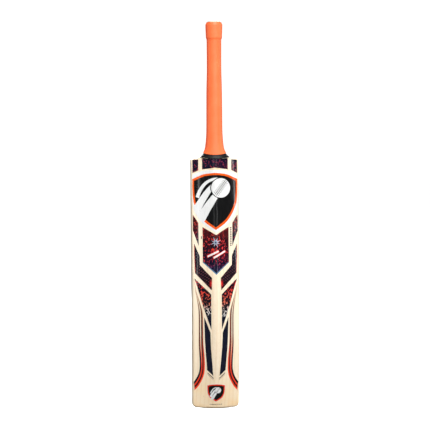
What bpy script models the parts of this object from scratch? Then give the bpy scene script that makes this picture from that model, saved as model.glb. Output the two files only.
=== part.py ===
"""Full-size cricket bat: a willow blade with a spliced cane handle, bindings, a rubber grip and vinyl labels.

It stands on its toe. +Z runs up the bat to the handle's butt, +Y points out of the hitting face, and the
ridged back faces -Y. Lengths in the constants are millimetres above the toe or from the centre line.
"""

import math

import bmesh
import bpy

MM = 0.001
GAP = 0.3

# Blade: (height, size) pairs, joined by smooth curves.
BLADE_HALF_WIDTH = 53.0
HALF_WIDTHS = ((0, 52.0), (120, 52.0), (300, 52.5), (480, 53.0), (555, 53.0))
SPINE_DEPTHS = (
    (0, 24), (30, 32), (100, 48), (160, 57), (215, 60), (280, 58.5), (350, 53), (430, 46.5), (500, 42),
    (560, 38),
)
EDGE_DEPTHS = (
    (0, 20), (30, 25), (100, 34), (180, 38), (260, 38), (340, 34), (430, 28), (500, 24), (560, 22),
)
RIDGE_SOFTNESS = ((0, 0.22), (120, 0.16), (300, 0.12), (560, 0.07))
FLANK_POWER = 1.5
EDGE_RADIUS = 4.0
TOE_EDGE_RADIUS = 3.5
TOE_CORNER_RADIUS = 8.5
TOE_CROWN = 2.2
TOE_CROWN_AT = 38.0
TOE_FLAT_HALF = 12.0
FACE_FLAT_HALF = 30.0
FACE_CROWN = 1.2
BOW_LOW, BOW_HIGH = 120.0, 400.0
TOE_BOW, SHOULDER_BOW = 3.0, 2.0
SHOULDER_DEPTH = 38.0
SHOULDER_Z = 556.0
SHOULDER = ((552.5, 53.0), (554.0, 52.3), (555.0, 50.4), (556.0, 46.0), (557.2, 40.0))
NECK_HEIGHTS = (558.2, 560.8, 564.5, 568.5, 573.0, 580.0)
NECK_TOP = NECK_HEIGHTS[-1]
NECK_ROUND_LOW, NECK_ROUND_HIGH = 557.0, 564.5

# Handle: half width and half depth of the core under the bindings.
CORE_HALF_WIDTHS = (
    (558.2, 34.0), (562.8, 27.8), (567.0, 23.8), (571.7, 20.2), (578.0, 17.7), (583.0, 16.6),
    (596.0, 15.7), (618.0, 14.5), (663.0, 14.15), (707.0, 13.8), (751.0, 12.75), (796.0, 12.8),
    (818.0, 13.0), (845.0, 13.9), (860.0, 14.2),
)
CORE_HALF_DEPTHS = (
    (556.0, 19.2), (565.0, 18.6), (578.0, 17.6), (596.0, 16.9), (618.0, 16.2), (707.0, 15.4), (751.0, 14.3),
    (796.0, 14.3), (818.0, 14.6), (845.0, 15.4), (860.0, 15.8),
)
BAT_LENGTH = 860.0
SHAFT_BOTTOM = 572.3
SHAFT_HALF_WIDTH = 14.8
SHAFT_DEPTH_INSET = 0.15
SPLICE_TIP = 393.0
SPLICE_HALF_WIDTH = 15.0
STRIP_PITCH = 7.2
STRIP_THICKNESS = 1.4
CANE_HALF_PITCH = 4.8

# Coverings, each outside the last
BINDING_TOP = 600.0
TWINE_TOP = 855.0
BINDING_CLEARANCE = 0.5
BINDING_WALL = 1.4
TWINE_WALL = 0.8
NECK_GRIP_CLEARANCE, HANDLE_GRIP_CLEARANCE = 2.5, 1.4
NECK_GRIP_WALL, HANDLE_GRIP_WALL = 1.7, 2.1
GRIP_BOTTOM, GRIP_TOP = 565.5, 858.5
CUFF_BOTTOM, CUFF_TOP = 819.0, 853.0
CUFF_EXTRA = 1.45
RIM_INSET = 2.2

# Labels: vinyl on the back of the blade
LABEL_GAP = 0.4
LABEL_THICKNESS = 0.2
LABEL_ROWS = 40.0
BACK_STEPS = (0.0, 2.0, 4.5, 8.0, 13.0, 20.0, 28.0, 36.0, 43.0)
FACE_STEPS = (0.0, 15.0, 30.0, 42.0)
CORNER_STEPS = 3
SIDE_STEPS = 2
OVAL_SEGMENTS = 20

WILLOW = ("willow", (0.86, 0.74, 0.56), 0.5)
CANE = ("cane", (0.72, 0.55, 0.33), 0.6)
INSERT_RUBBER = ("insert_rubber", (0.03, 0.03, 0.03), 0.8)
TWINE = ("twine", (0.80, 0.74, 0.60), 0.85)
BLACK_BINDING = ("black_binding", (0.012, 0.012, 0.014), 0.5)
GRIP_RUBBER = ("grip_rubber", (0.90, 0.25, 0.07), 0.6)
LABEL_NAVY = ("label_navy", (0.015, 0.02, 0.05), 0.3)
LABEL_MAROON = ("label_maroon", (0.16, 0.015, 0.02), 0.3)
LABEL_WHITE = ("label_white", (0.85, 0.85, 0.83), 0.3)
LABEL_RED = ("label_red", (0.80, 0.06, 0.02), 0.3)


def clear_scene():
    for obj in list(bpy.data.objects):
        bpy.data.objects.remove(obj, do_unlink=True)


def new_collection(name):
    collection = bpy.data.collections.new(name)
    bpy.context.scene.collection.children.link(collection)
    return collection


def material(look):
    name, colour, roughness = look
    found = bpy.data.materials.get(name)
    if found:
        return found
    made = bpy.data.materials.new(name)
    made.use_nodes = True
    shader = made.node_tree.nodes["Principled BSDF"]
    shader.inputs["Base Color"].default_value = (*colour, 1.0)
    shader.inputs["Roughness"].default_value = roughness
    return made


def add_object(name, mesh, look, collection):
    obj = bpy.data.objects.new(name, mesh)
    if look:
        mesh.materials.clear()
        mesh.materials.append(material(look))
    collection.objects.link(obj)
    return obj


def along(table, z):
    """The size at height z on a smooth curve through the table's points."""
    if z <= table[0][0]:
        return table[0][1]
    if z >= table[-1][0]:
        return table[-1][1]
    last = len(table) - 1
    i = max(n for n in range(last) if table[n][0] <= z)
    (z0, v0), (z1, v1) = table[i], table[i + 1]
    below, above = table[max(i - 1, 0)], table[min(i + 2, last)]
    slope0 = (v1 - below[1]) / (z1 - below[0])
    slope1 = (above[1] - v0) / (above[0] - z0)
    span = z1 - z0
    t = (z - z0) / span
    start = (1 + 2 * t) * (1 - t) ** 2 * v0 + t * (1 - t) ** 2 * span * slope0
    end = t * t * (3 - 2 * t) * v1 + t * t * (t - 1) * span * slope1
    return start + end


def ease(low, high, z):
    t = min(max((z - low) / (high - low), 0.0), 1.0)
    return t * t * (3 - 2 * t)


def core_half_width(z):
    return along(CORE_HALF_WIDTHS, z)


def core_half_depth(z):
    return along(CORE_HALF_DEPTHS, z)


# The handle's axis runs through the middle of the blade's shoulder. The whole bat is centred front to back
# between the ridge of the swell and the front of the grip's lower rim.
HANDLE_BEHIND_FACE = SHOULDER_DEPTH / 2 - SHOULDER_BOW
GRIP_PROUD = core_half_depth(GRIP_BOTTOM) + NECK_GRIP_CLEARANCE + NECK_GRIP_WALL - HANDLE_BEHIND_FACE
FACE_Y = (max(depth for _, depth in SPINE_DEPTHS) - GRIP_PROUD) / 2
HANDLE_Y = FACE_Y - HANDLE_BEHIND_FACE


def face_middle(z):
    low = max(BOW_LOW - z, 0.0) / BOW_LOW
    high = max(min(z, SHOULDER_Z) - BOW_HIGH, 0.0) / (SHOULDER_Z - BOW_HIGH)
    return FACE_Y + TOE_BOW * low**2 + SHOULDER_BOW * high**2


def rounding(x, half_width, radius):
    """How far a surface has fallen away at x by the round edge that ends at half_width."""
    into = min(max(abs(x) - (half_width - radius), 0.0), radius)
    return radius - math.sqrt(radius**2 - into**2)


def toe_inset(z):
    if z >= TOE_EDGE_RADIUS:
        return 0.0
    return TOE_EDGE_RADIUS - math.sqrt(TOE_EDGE_RADIUS**2 - (TOE_EDGE_RADIUS - z) ** 2)


def front_y(x, z):
    past_flat = max(abs(x) - FACE_FLAT_HALF, 0.0) / (BLADE_HALF_WIDTH - FACE_FLAT_HALF)
    return face_middle(z) - FACE_CROWN * past_flat**2


def back_y(x, z):
    """The back before its edges are rounded: a soft ridge with hollowed flanks down to the edges."""
    soft = along(RIDGE_SOFTNESS, z)
    across = min(abs(x) / BLADE_HALF_WIDTH, 1.0)
    from_ridge = (math.sqrt(across**2 + soft**2) - soft) / (math.sqrt(1 + soft**2) - soft)
    rise = (1 - from_ridge) ** FLANK_POWER
    edge, spine = along(EDGE_DEPTHS, z), along(SPINE_DEPTHS, z)
    return face_middle(z) - edge - (spine - edge) * rise


def toe_height(x):
    return TOE_CROWN * (x / TOE_CROWN_AT) ** 2 + rounding(x, along(HALF_WIDTHS, 0), TOE_CORNER_RADIUS)


def half_section(z, half_width):
    """Points of the right half, from the middle of the face round the edge to the ridge."""
    radius = min(EDGE_RADIUS, half_width / 4)
    shrink = (half_width - radius) / (BLADE_HALF_WIDTH - EDGE_RADIUS)
    turns = [math.pi / 2 * (n + 1) / CORNER_STEPS for n in range(CORNER_STEPS)]
    corner = [half_width - radius + radius * math.sin(turn) for turn in turns]
    inset = toe_inset(z)
    face = [x * shrink for x in FACE_STEPS] + [half_width - radius] + corner
    back = corner[::-1] + [half_width - radius] + [x * shrink for x in reversed(BACK_STEPS)]
    front_points = [(x, front_y(x, z) - rounding(x, half_width, radius) - inset) for x in face]
    back_points = [(x, back_y(x, z) + rounding(x, half_width, radius) + inset) for x in back]
    top, bottom = front_points[-1][1], back_points[0][1]
    side = [(half_width, top + (bottom - top) * n / (SIDE_STEPS + 1)) for n in range(1, SIDE_STEPS + 1)]
    return front_points + side + back_points


def oval_point(x, y, half_width, half_depth):
    angle = math.atan2((y - HANDLE_Y) / half_depth, x / half_width)
    return half_width * math.cos(angle), HANDLE_Y + half_depth * math.sin(angle)


def blade_ring(z, half_width):
    """A whole section, which turns into the handle's oval up the neck."""
    right = half_section(z, half_width)
    ring = right + [(-x, y) for x, y in right[-2:0:-1]]
    roundness = ease(NECK_ROUND_LOW, NECK_ROUND_HIGH, z)
    points = []
    for x, y in ring:
        oval_x, oval_y = oval_point(x, y, half_width, core_half_depth(z))
        points.append((x + (oval_x - x) * roundness, y + (oval_y - y) * roundness, z))
    return points


def oval_ring(z, half_width, half_depth):
    turns = [2 * math.pi * n / OVAL_SEGMENTS for n in range(OVAL_SEGMENTS)]
    return [(half_width * math.cos(a), HANDLE_Y + half_depth * math.sin(a), z) for a in turns]


def loft(name, rings, look, collection, tube=False):
    """Skin rings of equal length: a capped solid, or with tube the last ring meets the first."""
    bm = bmesh.new()
    rows = [[bm.verts.new([c * MM for c in point]) for point in ring] for ring in rings]
    pairs = list(zip(rows, rows[1:]))
    if tube:
        pairs.append((rows[-1], rows[0]))
    for low, high in pairs:
        for i in range(len(low)):
            j = (i + 1) % len(low)
            bm.faces.new((low[i], low[j], high[j], high[i]))
    if not tube:
        bm.faces.new(rows[0])
        bm.faces.new(rows[-1])
    bmesh.ops.triangulate(bm, faces=bm.faces[:])
    bmesh.ops.recalc_face_normals(bm, faces=bm.faces[:])
    mesh = bpy.data.meshes.new(name)
    bm.to_mesh(mesh)
    bm.free()
    obj = add_object(name, mesh, look, collection)
    mesh.shade_smooth()
    mesh.set_sharp_from_angle(angle=math.radians(40))
    return obj


def blade_solid(name, look, collection):
    toe = [(0.0, TOE_FLAT_HALF)] + [(toe_height(x), x) for x in (26.0, 38.0, 44.0, 47.0, 49.5, 51.2, 52.0)]
    heights = (25, 50, 80, 120, 160, 200, 240, 280, 320, 360, 400, 440, 480, 515, 540)
    body = [(z, along(HALF_WIDTHS, z)) for z in heights]
    neck = [(z, core_half_width(z)) for z in NECK_HEIGHTS]
    rings = [blade_ring(z, half_width) for z, half_width in toe + body + list(SHOULDER) + neck]
    return loft(name, rings, look, collection)


def prism_xz(name, outline, depth, collection):
    """A flat outline in X and Z, carried through the bat from front to back."""
    bm = bmesh.new()
    face = bm.faces.new([bm.verts.new((x * MM, -depth * MM, z * MM)) for x, z in outline])
    made = bmesh.ops.extrude_face_region(bm, geom=[face])["geom"]
    moved = [v for v in made if isinstance(v, bmesh.types.BMVert)]
    bmesh.ops.translate(bm, verts=moved, vec=(0, 2 * depth * MM, 0))
    bmesh.ops.recalc_face_normals(bm, faces=bm.faces[:])
    mesh = bpy.data.meshes.new(name)
    bm.to_mesh(mesh)
    bm.free()
    return as_cutter(add_object(name, mesh, None, collection))


def box(name, low, high, collection):
    bm = bmesh.new()
    bmesh.ops.create_cube(bm, size=1.0)
    for vert in bm.verts:
        for axis in range(3):
            vert.co[axis] = (low[axis] if vert.co[axis] < 0 else high[axis]) * MM
    mesh = bpy.data.meshes.new(name)
    bm.to_mesh(mesh)
    bm.free()
    return as_cutter(add_object(name, mesh, None, collection))


def as_cutter(obj):
    obj.hide_render = True
    obj.display_type = "WIRE"
    return obj


def boolean(obj, operation, other):
    modifier = obj.modifiers.new(operation.title(), "BOOLEAN")
    modifier.operation = operation
    modifier.object = other
    modifier.solver = "EXACT"


def splice_outline(clearance):
    side = SPLICE_HALF_WIDTH + clearance
    slope = SPLICE_HALF_WIDTH / (SHOULDER_Z - SPLICE_TIP)
    tip = SPLICE_TIP - clearance * math.hypot(1, slope) / slope
    top = NECK_TOP + (GAP if clearance else -GAP)
    return [(0, tip), (side, SHOULDER_Z), (side, top), (-side, top), (-side, SHOULDER_Z)]


def build_blade(parts, cutters):
    blade = blade_solid("blade", WILLOW, parts)
    slot = prism_xz("splice_slot_cutter", splice_outline(GAP), BAT_LENGTH / 4, cutters)
    boolean(blade, "DIFFERENCE", slot)


def build_handle_billet(cutters):
    """The whole handle before it is split: a shaft, and a splice wedge trimmed to the blade's outside."""
    wedge = as_cutter(blade_solid("splice_wedge", None, cutters))
    wedge_limit = prism_xz("splice_wedge_limit", splice_outline(0.0), BAT_LENGTH / 4, cutters)
    boolean(wedge, "INTERSECT", wedge_limit)
    heights = (SHAFT_BOTTOM, 580, 584, 591, 600, 618, 663, 707, 735, 760, 796, 820, 845, BAT_LENGTH)
    rings = []
    for z in heights:
        half_width = min(core_half_width(z), SHAFT_HALF_WIDTH)
        rings.append(oval_ring(z, half_width, core_half_depth(z) - SHAFT_DEPTH_INSET))
    shaft = as_cutter(loft("handle_shaft", rings, None, cutters))
    boolean(wedge, "UNION", shaft)
    return wedge


def slice_of_handle(name, billet, low, high, look, parts, cutters):
    piece = add_object(name, billet.data.copy(), look, parts)
    for modifier in billet.modifiers:
        boolean(piece, modifier.operation, modifier.object)
    bottom, top = (*low, SPLICE_TIP / 2), (*high, 2 * BAT_LENGTH)
    limits = box(name + "_limits", bottom, top, cutters)
    boolean(piece, "INTERSECT", limits)


def build_handle(parts, cutters):
    billet = build_handle_billet(cutters)
    reach = BAT_LENGTH / 4
    strips = (-STRIP_PITCH, 0.0, STRIP_PITCH)
    for name, middle in zip(("back", "middle", "front"), strips):
        low = (-reach, HANDLE_Y + middle - STRIP_THICKNESS / 2)
        high = (reach, HANDLE_Y + middle + STRIP_THICKNESS / 2)
        slice_of_handle(f"rubber_strip_{name}", billet, low, high, INSERT_RUBBER, parts, cutters)
    half = STRIP_THICKNESS / 2 + GAP
    layers = {
        "back": (-reach, strips[0] - half),
        "mid_back": (strips[0] + half, strips[1] - half),
        "mid_front": (strips[1] + half, strips[2] - half),
        "front": (strips[2] + half, reach),
    }
    inner = CANE_HALF_PITCH - GAP / 2
    outer = CANE_HALF_PITCH + GAP / 2
    columns = {"left": (-reach, -outer), "centre": (-inner, inner), "right": (outer, reach)}
    for layer, (back, front) in layers.items():
        for column, (left, right) in columns.items():
            low, high = (left, HANDLE_Y + back), (right, HANDLE_Y + front)
            slice_of_handle(f"cane_{layer}_{column}", billet, low, high, CANE, parts, cutters)
    bpy.data.objects.remove(billet, do_unlink=True)


def round_covering(z, clearance):
    return oval_ring(z, core_half_width(z) + clearance, core_half_depth(z) + clearance)


def neck_covering(z, clearance):
    """The neck's own section moved out by the clearance, to fit where the shoulders turn into the neck."""
    ring = blade_ring(z, core_half_width(z))
    moved = []
    for i, (x, y, _) in enumerate(ring):
        before, after = ring[i - 1], ring[(i + 1) % len(ring)]
        along_x, along_y = after[0] - before[0], after[1] - before[1]
        size = math.hypot(along_x, along_y)
        moved.append((x - along_y / size * clearance, y + along_x / size * clearance, z))
    return moved


def sleeve(name, heights, covering, inside, outside, look, parts):
    """A tube with its own wall. inside and outside give the clearance from the core at a height."""
    outer = [covering(z, outside(z)) for z in heights]
    inner = [covering(z, inside(z)) for z in reversed(heights)]
    loft(name, outer + inner, look, parts, tube=True)


def neck_clearance(z, low, high):
    """A clearance of low at the neck and high on the handle."""
    return low + (high - low) * ease(NECK_TOP, BINDING_TOP, z)


def build_bindings(parts):
    sleeve(
        "neck_binding",
        NECK_HEIGHTS + (584.0, 591.0, BINDING_TOP),
        neck_covering,
        lambda z: BINDING_CLEARANCE,
        lambda z: neck_clearance(z, BINDING_CLEARANCE + BINDING_WALL, GAP + TWINE_WALL),
        BLACK_BINDING,
        parts,
    )
    shaft = (BINDING_TOP + GAP, 618, 663, 707, 735, 760, 796, 820, 845, TWINE_TOP)
    sleeve("twine_binding", shaft, round_covering, lambda z: GAP, lambda z: GAP + TWINE_WALL, TWINE, parts)


def grip_inside(z):
    return neck_clearance(z, NECK_GRIP_CLEARANCE, HANDLE_GRIP_CLEARANCE)


def grip_outside(z):
    cuff = CUFF_EXTRA * ease(CUFF_BOTTOM, CUFF_BOTTOM + 6, z)
    rim = RIM_INSET * ease(CUFF_TOP, GRIP_TOP, z) ** 2
    return grip_inside(z) + neck_clearance(z, NECK_GRIP_WALL, HANDLE_GRIP_WALL) + cuff - rim


def build_grip(parts):
    neck = (GRIP_BOTTOM, 568.5, 573.0, 580.0, 584.0, 591.0, 600.0)
    shaft = (618, 663, 707, 735, 760, 796, CUFF_BOTTOM, CUFF_BOTTOM + 3, CUFF_BOTTOM + 6, 845)
    rim = (CUFF_TOP, CUFF_TOP + 3.5, GRIP_TOP)
    sleeve("grip", neck + shaft + rim, round_covering, grip_inside, grip_outside, GRIP_RUBBER, parts)


def cut_sheet(bm, axis, at):
    normal = (1, 0, 0) if axis == 0 else (0, 0, 1)
    place = (at * MM, 0, 0) if axis == 0 else (0, 0, at * MM)
    geometry = bm.verts[:] + bm.edges[:] + bm.faces[:]
    bmesh.ops.bisect_plane(bm, geom=geometry, plane_co=place, plane_no=normal, dist=1e-6)


def label(name, outline, look, parts):
    """A vinyl sheet cut to the outline, in X and Z, and laid on the curved back."""
    bm = bmesh.new()
    bm.faces.new([bm.verts.new((x * MM, 0, z * MM)) for x, z in outline])
    for x in BACK_STEPS:
        cut_sheet(bm, 0, x)
        cut_sheet(bm, 0, -x)
    low = min(z for _, z in outline)
    high = max(z for _, z in outline)
    rows = math.ceil((high - low) / LABEL_ROWS)
    for row in range(1, rows):
        cut_sheet(bm, 2, low + (high - low) * row / rows)
    bmesh.ops.triangulate(bm, faces=bm.faces[:])
    for vert in bm.verts:
        x, z = vert.co.x / MM, vert.co.z / MM
        edge = rounding(x, along(HALF_WIDTHS, z), EDGE_RADIUS)
        vert.co.y = (back_y(x, z) + edge - LABEL_GAP) * MM
    for face in bm.faces:
        face.normal_update()
        if face.normal.y > 0:
            face.normal_flip()
    mesh = bpy.data.meshes.new(name)
    bm.to_mesh(mesh)
    bm.free()
    obj = add_object(name, mesh, look, parts)
    vinyl = obj.modifiers.new("Vinyl", "SOLIDIFY")
    vinyl.thickness = LABEL_THICKNESS * MM
    vinyl.offset = 1.0


def both_halves(right):
    """A symmetric outline from its right half, which runs from the top of the centre line to the bottom."""
    left = [(-x, z) for x, z in reversed(right) if x > 0]
    return right + left


def paired_labels(name, outline, look, parts):
    label(name + "_right", outline, look, parts)
    label(name + "_left", [(-x, z) for x, z in outline], look, parts)


def build_shoulder_labels(parts):
    side = [(36.75, 553.5), (36.75, 530), (49.75, 524), (49.75, 553.0)]
    paired_labels("shoulder_label", side, LABEL_NAVY, parts)
    centre = both_halves([(0, 556.0), (28.6, 556.0), (28.6, 532), (0, 536)])
    label("shoulder_label_centre", centre, LABEL_NAVY, parts)


def build_shield_label(parts):
    right = [(0, 531.5), (50.2, 521), (50.2, 480), (49, 447), (46, 437), (41, 429), (28.5, 412), (14, 399.5)]
    right.append((0, 391))
    label("shield_label", both_halves(right), LABEL_WHITE, parts)


def build_panel_labels(parts):
    paired_labels("upper_panel", [(49.75, 432), (37.75, 413.5), (37.4, 362), (50, 397)], LABEL_NAVY, parts)
    label("centre_panel", both_halves([(0, 387), (29, 404.5), (29, 326), (0, 299)]), LABEL_MAROON, parts)
    flank = [(47.75, 368), (36, 341), (35.5, 320.5), (9.75, 292), (10.5, 264.5), (46.3, 302.5), (47.5, 340)]
    paired_labels("flank_panel", flank, LABEL_NAVY, parts)
    wedge = [(47.75, 291), (11.6, 255.5), (11.6, 177), (30.3, 232), (38.5, 262)]
    paired_labels("wedge_panel", wedge, LABEL_MAROON, parts)


def build_toe_labels(parts):
    bar = [(27, 205), (13.75, 171), (12.3, 135), (7, 74), (20.5, 87), (24.3, 135), (25.8, 165)]
    paired_labels("navy_bar", bar, LABEL_NAVY, parts)
    paired_labels("chevron_line", [(6.5, 69), (6.5, 67), (19.5, 79.5), (19.5, 81.5)], LABEL_NAVY, parts)
    badge = [(0, 55.5), (20.25, 53), (20, 41), (18.3, 32), (13.3, 23.3), (0, 14.8)]
    label("toe_badge", both_halves(badge), LABEL_WHITE, parts)


def build_edge_stripes(parts):
    inner = [(47.5, 42), (40, 50), (34, 60), (29.5, 70), (26.5, 80), (25.6, 92), (26.6, 115), (29, 145)]
    inner += [(29.8, 175), (30.5, 215), (34.5, 232), (43.3, 262), (47.4, 288)]
    outer = [(49.4, 288), (45.6, 262), (40.2, 235), (38, 215), (38, 170), (38, 140), (36.4, 110)]
    outer += [(36, 92), (38, 80), (42.25, 70), (49, 60), (49.4, 46)]
    paired_labels("edge_stripe", inner + outer, LABEL_RED, parts)


def main():
    clear_scene()
    parts = new_collection("cricket_bat")
    cutters = new_collection("cutters")
    build_blade(parts, cutters)
    build_handle(parts, cutters)
    build_bindings(parts)
    build_grip(parts)
    build_shoulder_labels(parts)
    build_shield_label(parts)
    build_panel_labels(parts)
    build_toe_labels(parts)
    build_edge_stripes(parts)


main()
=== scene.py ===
"""Looks for the cricket bat: willow, wound bindings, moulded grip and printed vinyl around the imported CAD."""

import math

import bmesh
import bpy
from mathutils import Matrix, Vector


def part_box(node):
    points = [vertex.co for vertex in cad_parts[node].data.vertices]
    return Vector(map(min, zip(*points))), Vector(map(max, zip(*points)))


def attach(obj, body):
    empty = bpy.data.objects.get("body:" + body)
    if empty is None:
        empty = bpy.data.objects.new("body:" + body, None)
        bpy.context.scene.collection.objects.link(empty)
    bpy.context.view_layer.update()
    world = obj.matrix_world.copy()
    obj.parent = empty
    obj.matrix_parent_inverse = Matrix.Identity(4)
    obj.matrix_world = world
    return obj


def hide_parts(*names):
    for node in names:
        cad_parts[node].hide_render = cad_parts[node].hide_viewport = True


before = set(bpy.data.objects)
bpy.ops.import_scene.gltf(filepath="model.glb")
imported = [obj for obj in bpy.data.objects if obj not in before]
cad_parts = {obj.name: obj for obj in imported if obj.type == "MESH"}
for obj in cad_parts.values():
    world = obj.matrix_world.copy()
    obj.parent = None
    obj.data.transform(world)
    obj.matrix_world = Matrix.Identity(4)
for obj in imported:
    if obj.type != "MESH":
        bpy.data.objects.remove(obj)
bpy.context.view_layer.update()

MM = 0.001
BODY = "root"

# Blade, as in the CAD: millimetres above the toe, from the centre line, or of depth.
BLADE_HALF_WIDTH = 53.0
HALF_WIDTHS = ((0, 52.0), (120, 52.0), (300, 52.5), (480, 53.0), (555, 53.0))
SPINE_DEPTHS = (
    (0, 24), (30, 32), (100, 48), (160, 57), (215, 60), (280, 58.5), (350, 53), (430, 46.5), (500, 42),
    (560, 38),
)
EDGE_DEPTHS = ((0, 20), (30, 25), (100, 34), (180, 38), (260, 38), (340, 34), (430, 28), (500, 24), (560, 22))
RIDGE_SOFTNESS = ((0, 0.22), (120, 0.16), (300, 0.12), (560, 0.07))
FLANK_POWER = 1.5
EDGE_RADIUS = 4.0
SHOULDER_EDGE_RADIUS = 2.4
TOE_CORNER_RADIUS = 8.5
TOE_CROWN, TOE_CROWN_AT = 2.2, 38.0
FACE_FLAT_HALF = 30.0
FACE_CROWN = 1.2
BOW_LOW, BOW_HIGH = 120.0, 400.0
TOE_BOW, SHOULDER_BOW = 3.0, 2.0
SHOULDER_DEPTH = 38.0
SHOULDER_Z = 556.0
NECK_TOP = 580.0
NECK_ROUND_LOW, NECK_ROUND_HIGH = 557.0, 564.5
CORE_HALF_WIDTHS = (
    (558.2, 34.0), (562.8, 27.8), (567.0, 23.8), (571.7, 20.2), (578.0, 17.7), (583.0, 16.6), (596.0, 15.7),
    (618.0, 14.5), (663.0, 14.15), (707.0, 13.8), (751.0, 12.75), (796.0, 12.8), (818.0, 13.0), (845.0, 13.9),
    (860.0, 14.2),
)
CORE_HALF_DEPTHS = (
    (556.0, 19.2), (565.0, 18.6), (578.0, 17.6), (596.0, 16.9), (618.0, 16.2), (707.0, 15.4), (751.0, 14.3),
    (796.0, 14.3), (818.0, 14.6), (845.0, 15.4), (860.0, 15.8),
)
SPLICE_TIP = 393.0
SPLICE_HALF_WIDTH = 15.0
GLUE_LINE = 0.08

# Bindings and grip
BINDING_BOTTOM, BINDING_TOP = 559.6, 600.0
BINDING_DIP, BINDING_DIP_HEIGHT = 3.4, 14
BINDING_CLEARANCE, BINDING_WALL, HANDLE_WRAP = 0.5, 1.4, 1.1
NECK_GRIP_CLEARANCE, HANDLE_GRIP_CLEARANCE = 2.5, 1.4
NECK_GRIP_WALL, HANDLE_GRIP_WALL = 1.7, 2.1
GRIP_BOTTOM, GRIP_TOP = 568.6, 858.5
GRIP_DIP, GRIP_DIP_HEIGHT = 4.2, 26
CUFF_BOTTOM, CUFF_TOP = 819.0, 853.0
CUFF_EXTRA = 1.45
RIM_INSET = 2.2
THREAD_PITCH, THREAD_HEIGHT = 1.0, 0.22
RIB_PITCH, RIB_HEIGHT = 3.4, 0.14

# Vinyl: how far each printed layer stands off the willow
BASE_LIFT = 0.16
LAYER_STEP = 0.05
VINYL_THICKNESS = 0.1

# Mesh fineness
CUT_X, CUT_Z = 3.0, 5.0
RIDGE_CUTS = (0.0, 0.8, 1.6, 2.6, 4.2)
CORNER_STEPS = 6
OVAL_SEGMENTS = 96

VIEW_AZIMUTH, VIEW_ELEVATION, VIEW_ROLL = -4.5, 1.5, -0.28
VIEW_DISTANCE = 8.0
VIEW_HEIGHT = 0.9546
VIEW_TARGET = (-0.0003, 0.0, 0.4307)
SENSOR = 36.0
FLOOR_REACH = 30.0
FLOOR_DROP = 0.0005
AMBIENT = 0.14

# Softboxes: name, azimuth, elevation, distance in metres, size in metres, watts
LIGHT_TARGET = (0.0, 0.0, 0.43)
SOFTBOXES = (
    ("overhead", 14, 44, 6.0, (3.2, 2.2), 370),
    ("front", 8, 26, 6.0, (3.0, 1.2), 135),
    ("strip_right", 34, 3, 2.4, (0.08, 1.3), 5.0),
    ("strip_left", -32, 3, 2.4, (0.06, 1.3), 2.6),
    ("side_left", -98, 6, 2.6, (0.7, 1.6), 9),
    ("low_front", 20, -3, 4.0, (1.6, 0.4), 9),
    ("side_right", 100, 8, 3.2, (0.8, 1.6), 16),
    ("behind", 180, 28, 5.0, (3.0, 2.0), 330),
)


def srgb(red, green, blue):
    """A linear colour, with alpha, from red, green and blue out of 255."""
    values = [c / 255 for c in (red, green, blue)]
    return (*[c / 12.92 if c <= 0.04045 else ((c + 0.055) / 1.055) ** 2.4 for c in values], 1.0)


WOOD = srgb(243, 226, 200)
NAVY = srgb(16, 19, 38)
RED = srgb(233, 62, 36)
ORANGE = srgb(236, 92, 26)
WHITE = srgb(228, 228, 227)
BLACK = srgb(8, 8, 9)


# ---- shape of the bat ----


def along(table, z):
    """The size at height z on a smooth curve through the table's points."""
    if z <= table[0][0]:
        return table[0][1]
    if z >= table[-1][0]:
        return table[-1][1]
    last = len(table) - 1
    i = max(n for n in range(last) if table[n][0] <= z)
    (z0, v0), (z1, v1) = table[i], table[i + 1]
    below, above = table[max(i - 1, 0)], table[min(i + 2, last)]
    slope0 = (v1 - below[1]) / (z1 - below[0])
    slope1 = (above[1] - v0) / (above[0] - z0)
    span = z1 - z0
    t = (z - z0) / span
    start = (1 + 2 * t) * (1 - t) ** 2 * v0 + t * (1 - t) ** 2 * span * slope0
    end = t * t * (3 - 2 * t) * v1 + t * t * (t - 1) * span * slope1
    return start + end


def ease(low, high, z):
    t = min(max((z - low) / (high - low), 0.0), 1.0)
    return t * t * (3 - 2 * t)


FACE_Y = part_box("blade")[0][1] / MM + max(depth for _, depth in SPINE_DEPTHS)
HANDLE_Y = FACE_Y + SHOULDER_BOW - SHOULDER_DEPTH / 2


def core_half_width(z):
    return along(CORE_HALF_WIDTHS, z)


def core_half_depth(z):
    return along(CORE_HALF_DEPTHS, z)


def face_middle(z):
    low = max(BOW_LOW - z, 0.0) / BOW_LOW
    high = max(min(z, SHOULDER_Z) - BOW_HIGH, 0.0) / (SHOULDER_Z - BOW_HIGH)
    return FACE_Y + TOE_BOW * low**2 + SHOULDER_BOW * high**2


def rounding(x, half_width, radius):
    """How far a surface has fallen away at x by the round edge that ends at half_width."""
    into = min(max(abs(x) - (half_width - radius), 0.0), radius)
    return radius - math.sqrt(radius**2 - into**2)


def front_y(x, z):
    past_flat = max(abs(x) - FACE_FLAT_HALF, 0.0) / (BLADE_HALF_WIDTH - FACE_FLAT_HALF)
    return face_middle(z) - FACE_CROWN * past_flat**2


def back_y(x, z):
    """The back before its edges are rounded: a soft ridge with hollowed flanks down to the edges."""
    soft = along(RIDGE_SOFTNESS, z)
    across = min(abs(x) / BLADE_HALF_WIDTH, 1.0)
    from_ridge = (math.sqrt(across**2 + soft**2) - soft) / (math.sqrt(1 + soft**2) - soft)
    rise = (1 - from_ridge) ** FLANK_POWER
    edge, spine = along(EDGE_DEPTHS, z), along(SPINE_DEPTHS, z)
    return face_middle(z) - edge - (spine - edge) * rise


def oval_point(x, y, half_width, half_depth):
    angle = math.atan2((y - HANDLE_Y) / half_depth, x / half_width)
    return half_width * math.cos(angle), HANDLE_Y + half_depth * math.sin(angle)


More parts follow.
